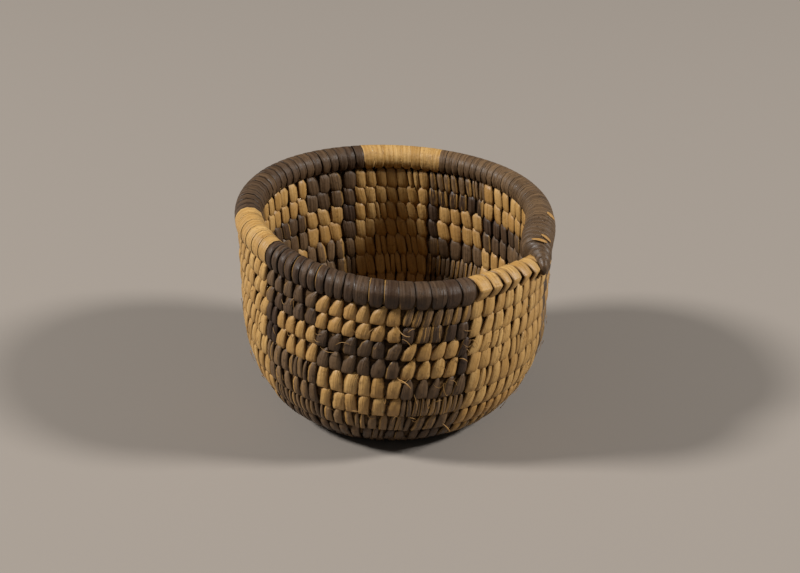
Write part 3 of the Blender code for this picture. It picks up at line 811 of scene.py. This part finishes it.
# Wraps over the rim: each a loop round the coil's middle, swaying along it by a cosine that leads at
# the outer crest, and narrower under the coil. A fold is a bell curve added to the coil's radius,
# less a shallow one on either side; another drapes the lower ends over the wall.
def layWraps(node):
    edges, finish, mannerName = rimNodes[node]
    thickness, gap, sway, thin, fold, foldAt, drape, shade, wear, pale = rimManners[mannerName]
    rng = drawsFor(node)
    edges = np.radians(edges)[:, None]
    step = np.diff(edges, axis=0)
    turned = edges[:-1] + step * (0.5 + rng.uniform(*rim["strays"], step.shape))
    degrees, wide = rimPath.T
    angle = np.radians(degrees)
    wide = wide * (1 - thin * bellCurve(degrees, rim["thinAt"], rim["thinSpread"]))
    half = step / 2 * (1 - gap) * rng.uniform(*rim["widths"], step.shape)
    swayed = sway * 2 * half * rng.uniform(*rim["sways"], step.shape) * np.cos(angle - rim["swayAt"])
    turns = np.clip(turned - swayed, 0, fullTurn + basket["overlap"])
    lift = thickness * mm * rng.uniform(*rim["lifts"], step.shape)
    shape = bellCurve(degrees, foldAt, rim["foldSpread"])
    for flank in (-rim["flankAt"], rim["flankAt"]):
        shape = shape - rim["flankShare"] * bellCurve(degrees, foldAt + flank, rim["flankSpread"])
    draped = drape * bellCurve(degrees, rim["drapeAt"], rim["drapeSpread"])
    swelling = 1 + draped + fold * shape * rng.uniform(*rim["folds"], step.shape)
    along, out = rimLoop(turns, angle, swelling, lift)
    bands = {
        "turned": turns,
        "along": along,
        "out": out,
        "normalAlong": np.sin(angle),
        "normalOut": np.cos(angle),
        "halfWidth": half * radiusAt(rimAlong) * wide,
        "lift": lift,
        "rise": (angle + math.pi / 2) / fullTurn,
        "edge": shade,
        "seed": rng.random(step.shape),
        "wear": np.clip(wear + rng.uniform(*rim["wears"], step.shape), 0, 1) * (wear > 0),
        "pale": (rng.random(step.shape) < pale) * rng.uniform(*rim["pales"], step.shape),
    }
    handIn(f"{node}_wraps", layBands(bands, rimSection), f"{finish}_splint", node)


taperedEnd = {
    "edges": spread(349, 370, 0.6),
    "thickness": 0.09 * mm,
    "sway": 0.2,  # of a step
    "shade": 0.86,  # how dark the painted shade on the edges of its wraps is
    "fibreWidth": 0.3,
    "wear": 0.5,
    "stations": 6,  # from wrap to wrap
    "sides": 32, "seed": 7,
}


# The coil's end thins so fast that one skin carries its wraps: a tube over the same ellipses, with
# ridges by the square root of a sine along the coil
def layTaperedEnd():
    edges = taperedEnd["edges"]
    wraps = len(edges) - 1
    share = np.linspace(0, wraps, wraps * taperedEnd["stations"] + 1)
    angle = np.linspace(0, fullTurn, taperedEnd["sides"], endpoint=False)
    turned = np.radians(np.interp(share, np.arange(wraps + 1), edges))[:, None]
    step = np.radians(edges[1] - edges[0])
    sloping = turned - taperedEnd["sway"] * step * np.cos(angle - rim["swayAt"])
    sloping = np.clip(sloping, 0, fullTurn + basket["overlap"])
    valley = 1 - np.sqrt(np.abs(np.sin(math.pi * share)))[:, None]
    along, out = rimLoop(sloping, angle, 1, taperedEnd["thickness"] * valley)
    points, faces = skinTube(place(sloping, along, out))
    wrap = np.minimum(share.astype(int), wraps - 1)
    seeds = np.random.default_rng(taperedEnd["seed"]).random(wraps)[wrap][:, None]
    across = (2 * (share - wrap) - 1)[:, None]
    rises = (angle + math.pi / 2) % fullTurn / fullTurn
    length = angle * basket["rimHalf"] / mm
    shaded = vectors(across * taperedEnd["shade"], rises, seeds).reshape(-1, 3)
    fibre = vectors(across * taperedEnd["fibreWidth"], length, seeds * seedSpread).reshape(-1, 3)
    marks = {
        "splint": np.concatenate((shaded, shaded[[0, -1]])),
        "fibre": np.concatenate((fibre, fibre[[0, -1]])),
        "wear": taperedEnd["wear"],
        "pale": 0,
    }
    handIn("rim_tapered_end_wraps", (points, faces, marks), "dark_splint", "rim_tapered_end")


for node in rimNodes:
    layWraps(node)
layTaperedEnd()
print("rim wrapped")


# The grass bundle and its beginning

bundle = {
    "start": 0.02,  # where it begins, in radians turned
    "steps": 72,  # round one turn
    "sides": 14,
    "halfThickness": 0.68 * mm,
    "heightShare": 0.53,  # half of it, as a share of the course's height
    "rimCover": 0.30 * mm,  # from the rim's outside to its bundle
    "rimDrop": 0.25 * mm,  # how far the rim's bundle sags on to the last course
    "strawShare": 0.035,  # how far single straws stand out
    "straws": 7,
    "twist": 1.7,  # of the straws about the bundle
}


# A coil of straws: an oval carried along the coil, with shallow waves that turn slowly about it; in
# the rim it grows into the round core
def layBundle():
    ends = fullTurn * courses + fullTurn + basket["overlap"] / 2
    turned = np.linspace(bundle["start"], ends, round(bundle["steps"] * ends / fullTurn))
    sides = np.linspace(0, fullTurn, bundle["sides"], endpoint=False)
    onRim = turned > fullTurn * courses
    here = np.where(onRim, turned - fullTurn * courses, turned)
    low, high = courseEdge(0, turned), courseEdge(1, turned)
    middle = np.where(onRim, rimMiddle(here) - bundle["rimDrop"] / 2, (low + high) / 2)
    halfHeight = (high - low) * bundle["heightShare"]
    core = rimOutside(here) - bundle["rimCover"]
    tall = np.where(onRim, core + bundle["rimDrop"] / 2, halfHeight)
    thick = np.where(onRim, core, bundle["halfThickness"])
    twisted = sides + turned[:, None] * bundle["twist"]
    straws = 1 + bundle["strawShare"] * np.cos(bundle["straws"] * twisted)
    along = middle[:, None] + tall[:, None] * np.sin(sides) * straws
    out = thick[:, None] * np.cos(sides) * straws
    points, faces = skinTube(place(turned[:, None], along, out))
    length = np.concatenate(([0], np.cumsum(np.diff(turned) * radiusAt(middle[1:]))))
    fibre = vectors(sides * bundle["halfThickness"] / mm, length[:, None] / mm, 0)
    fibre = np.concatenate((fibre.reshape(-1, 3), np.zeros((2, 3))))
    handIn("grass_bundle_coil", (points, faces, {"fibre": fibre}), "grass_bundle", "foundation_coil")


layBundle()

# cover is a wrap's width as a share of its slice, tilt how far its edge leans
knot = {"wraps": 9, "thickness": 0.16 * mm, "cover": 0.97, "tilt": 0.5, "wear": 0.35, "seed": 5}

# Stations round a wrap of the knot, as shares of its reach and of half the base's thickness
knotPath = np.array((
    (0.10, 1.00), (0.35, 1.00), (0.62, 1.00), (0.86, 0.82), (0.97, 0.35), (0.97, -0.35),
    (0.86, -0.82), (0.62, -1.00), (0.35, -1.00), (0.10, -1.00), (0.05, -0.5), (0.05, 0.5),
))


# The curled beginning: splints like slices of a pie, each out along the underside, round the edge
# and back over the top, filling the snail-shaped space inside the first course
def layKnot():
    wraps = np.arange(knot["wraps"])[:, None]
    turned = fullTurn * (wraps + 0.5) / knot["wraps"]
    reach, stand = knotPath.T
    along = (courseEdge(0, turned) - basket["patchGap"] / 2) * reach
    bands = {
        "turned": turned,
        "along": along,
        "out": stand * (basket["courseHalf"] - knot["thickness"]),
        "normalAlong": np.where(np.abs(stand) == 1, 0, knot["tilt"]),
        "normalOut": stand,
        "halfWidth": radiusAt(along) * fullTurn / knot["wraps"] / 2 * knot["cover"],
        "lift": knot["thickness"],
        "rise": np.linspace(0, 1, len(knotPath)),
        "edge": 1.0,
        "seed": np.random.default_rng(knot["seed"]).random(wraps.shape),
        "wear": knot["wear"],
        "pale": 0,
    }
    handIn("start_knot_wraps", layBands(bands, stitchSection), "dark_splint", "start_knot")


layKnot()
print("bundle and knot made")


# Fibres and splint ends that stand off the wall: both ends as degrees turned and courses down from
# the rim, width and stand-off in millimetres, and how far they bend up on the way, in courses
looseEnds = (
    ((98.3, 2.90), (91.5, 2.86), 0.06, 0.25, -0.10), ((92.2, 2.55), (86.0, 2.32), 0.06, 0.20, 0.20),
    ((87.2, 5.78), (83.2, 5.72), 0.07, 0.20, 0.10), ((66.2, 5.90), (62.8, 5.97), 0.08, 0.20, 0.10),
    ((71.0, 0.85), (66.2, 1.40), 0.11, 0.30, -0.15), ((67.0, 1.20), (64.6, 0.95), 0.07, 0.20, 0.10),
    ((51.0, 6.53), (45.5, 7.30), 0.15, 0.30, 0.10), ((70.0, 3.86), (65.5, 4.27), 0.17, 0.30, 0.10),
    ((48.8, 2.97), (45.5, 3.20), 0.12, 0.20, 0.10), ((64.2, 4.60), (62.6, 5.25), 0.06, 0.20, 0.00),
    ((54.2, 4.12), (53.4, 4.80), 0.07, 0.10, 0.00), ((44.8, 2.05), (41.8, 2.45), 0.09, 0.20, 0.20),
    ((47.5, 1.30), (42.6, 1.15), 0.08, 0.20, -0.15), ((112.0, 1.3), (109.5, 0.7), 0.07, 0.20, 0.10),
)

# Ends of splints on the rim: degrees turned and angle above the outward one at both ends, width
rimEnds = (
    ((345.6, 66), (346.0, 26), 0.95), ((363.0, 112), (362.4, 50), 0.80), ((360.5, 74), (360.6, 30), 0.55),
)

loose = {
    "sides": 6, "stations": 8,
    "root": 0.97,  # where they stand off, as a share of half the wall's thickness
    "arch": 0.8,  # how much of a half sine they arch by
    "tip": 0.35,  # width of their tips, as a share of the middle's
    "rimTip": 0.3,
    "endThickness": 0.12 * mm,
    "mark": (0.0, 0.5, 0.3), "wear": 0.8,
    "hairs": 170, "hairSeed": 3,
}


# Short hairs all round the wall, in the form of the loose ends
def growHairs():
    low = (0, 0.4, -4.5, -0.6, 0.035, 0.08, -0.3)
    high = (360, 6.8, 4.5, 0.6, 0.075, 0.24, 0.3)
    rows = np.random.default_rng(loose["hairSeed"]).uniform(low, high, (loose["hairs"], len(low)))
    for turned, row, run, climb, width, standOff, bend in rows:
        yield (turned, row), (turned + run, row + climb), width, standOff, bend


# Places and half sizes along the loose ends, which arch off the wall and bend along it by half
# sines or lie on the rim's wraps. The angle says which way is off the surface.
def traceEnds():
    share = np.linspace(0, 1, loose["stations"])
    swing = np.sin(math.pi * share)
    for (turnedA, rowA), (turnedB, rowB), width, standOff, bend in (*looseEnds, *growHairs()):
        turned = np.radians(turnedA + (turnedB - turnedA) * share)
        along = courseEdge(courses - (rowA + (rowB - rowA) * share) + bend * swing, turned)
        arch = np.sin(math.pi * share * loose["arch"])
        out = basket["courseHalf"] * loose["root"] + standOff * mm * arch
        half = width / 2 * mm * (loose["tip"] + (1 - loose["tip"]) * swing)
        yield turned, along, out, half, half, 0 * share
    for (turnedA, angleA), (turnedB, angleB), width in rimEnds:
        turned = np.radians(turnedA + (turnedB - turnedA) * share)
        angle = np.radians(angleA + (angleB - angleA) * share)
        along, out = rimLoop(turned, angle, 1, 0)
        half = width / 2 * mm * (loose["rimTip"] + (1 - loose["rimTip"]) * np.sqrt(swing))
        yield turned, along, out, half, np.full(len(share), loose["endThickness"] / 2), angle


# Each row over its length
def unitRows(rows):
    return rows / np.linalg.norm(rows, axis=1, keepdims=True)


# Oval rings square to each end's way: their side is the cross product of the way off the surface
# and the way on
def layLooseEnds():
    ring = np.linspace(0, fullTurn, loose["sides"], endpoint=False)
    allPoints, allFaces, total = [], [], 0
    for turned, along, out, half, thick, angle in traceEnds():
        middle = place(turned, along, out)
        off = unitRows(place(turned, along + np.sin(angle) * mm, out + np.cos(angle) * mm) - middle)
        side = unitRows(np.cross(off, np.gradient(middle, axis=0)))
        across = (half[:, None] * np.cos(ring))[..., None] * side[:, None]
        height = (thick[:, None] * np.sin(ring))[..., None] * off[:, None]
        points, faces = skinTube(middle[:, None] + across + height)
        allPoints.append(points)
        allFaces += [[corner + total for corner in face] for face in faces]
        total += len(points)
    points = np.concatenate(allPoints)
    fibre = points[:, [2, 0, 1]] / mm
    marks = {"fibre": fibre, "splint": loose["mark"], "wear": loose["wear"], "pale": 0}
    piece = addPiece("loose_ends", points, allFaces, marks, "willow_splint")
    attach(piece, "root")


layLooseEnds()


# Floor, lamps and camera

stage = {
    "floorSize": 3.0,
    "floor": {"Base Color": (0.262, 0.236, 0.212, 1), "Roughness": 0.95, "Specular IOR Level": 0.1},
    "world": {"Color": (0.86, 0.84, 0.80, 1), "Strength": 0.10},
    "lampColour": (1.0, 0.97, 0.93),
}


def makeFloor():
    half = stage["floorSize"] / 2
    corners = [(-half, -half, 0), (half, -half, 0), (half, half, 0), (-half, half, 0)]
    mesh = bpy.data.meshes.new("studioFloor")
    mesh.from_pydata(corners, [], [(0, 1, 2, 3)])
    material, tree, shader = startMaterial("paleFloor")
    wire(tree, shader, stage["floor"])
    mesh.materials.append(material)
    floor = addObject("studioFloor", mesh)


makeFloor()

# Each lamp: where it stands, its size and its power
lamps = {
    "leftLamp": {"at": (-0.556, -0.070, 0.458), "size": 0.12, "power": 6.35},
    "rightLamp": {"at": (0.570, -0.090, 0.458), "size": 0.12, "power": 5.55},
}


def addLamps():
    for name, lamp in lamps.items():
        light = bpy.data.lights.new(name, "AREA")
        light.shape = "DISK"
        light.size = lamp["size"]
        light.energy = lamp["power"]
        light.color = stage["lampColour"]
        holder = addObject(name, light)
        holder.location = lamp["at"]
        aim = Vector((0, 0, basket["height"] / 2)) - Vector(lamp["at"])
        holder.rotation_euler = aim.to_track_quat("-Z", "Y").to_euler()
    world = bpy.data.worlds.new("studioWorld")
    bpy.context.scene.world = world
    world.use_nodes = True
    wire(world.node_tree, world.node_tree.nodes["Background"], stage["world"])


addLamps()

# The camera sees the rim's middle at a given pixel of the image
camera = {
    "eye": (0.0, -198.8 * mm, 114.7 * mm),
    "target": (0.0, 0.0, 21.45 * mm),
    "targetPixel": (392.7, 220.55),
    "imageSize": (800, 573),
    "focalPixels": 2016.5,
    "sensorWidth": 36.0,
    "clip": (0.01, 20.0),
}


# Level camera whose pitch and yaw put the target at its pixel
def addCamera():
    view = Vector(camera["target"]) - Vector(camera["eye"])
    aside = camera["targetPixel"][0] - camera["imageSize"][0] / 2
    above = camera["imageSize"][1] / 2 - camera["targetPixel"][1]
    focal = camera["focalPixels"]
    reach = math.sqrt(aside ** 2 + above ** 2 + focal ** 2)
    sine = view.z / view.length
    pitch = math.asin(reach * sine / math.hypot(above, focal)) - math.atan2(above, focal)
    ahead = focal * math.cos(pitch) - above * math.sin(pitch)
    yaw = math.atan2(aside, ahead) - math.atan2(view.x, view.y)
    data = bpy.data.cameras.new("studioCamera")
    data.sensor_width = camera["sensorWidth"]
    data.lens = focal * camera["sensorWidth"] / camera["imageSize"][0]
    data.clip_start, data.clip_end = camera["clip"]
    holder = addObject("studioCamera", data)
    holder.location = camera["eye"]
    holder.rotation_euler = (math.pi / 2 + pitch, 0, yaw)
    bpy.context.scene.camera = holder


addCamera()
bpy.context.scene.view_settings.view_transform = "Standard"
print("stage set")
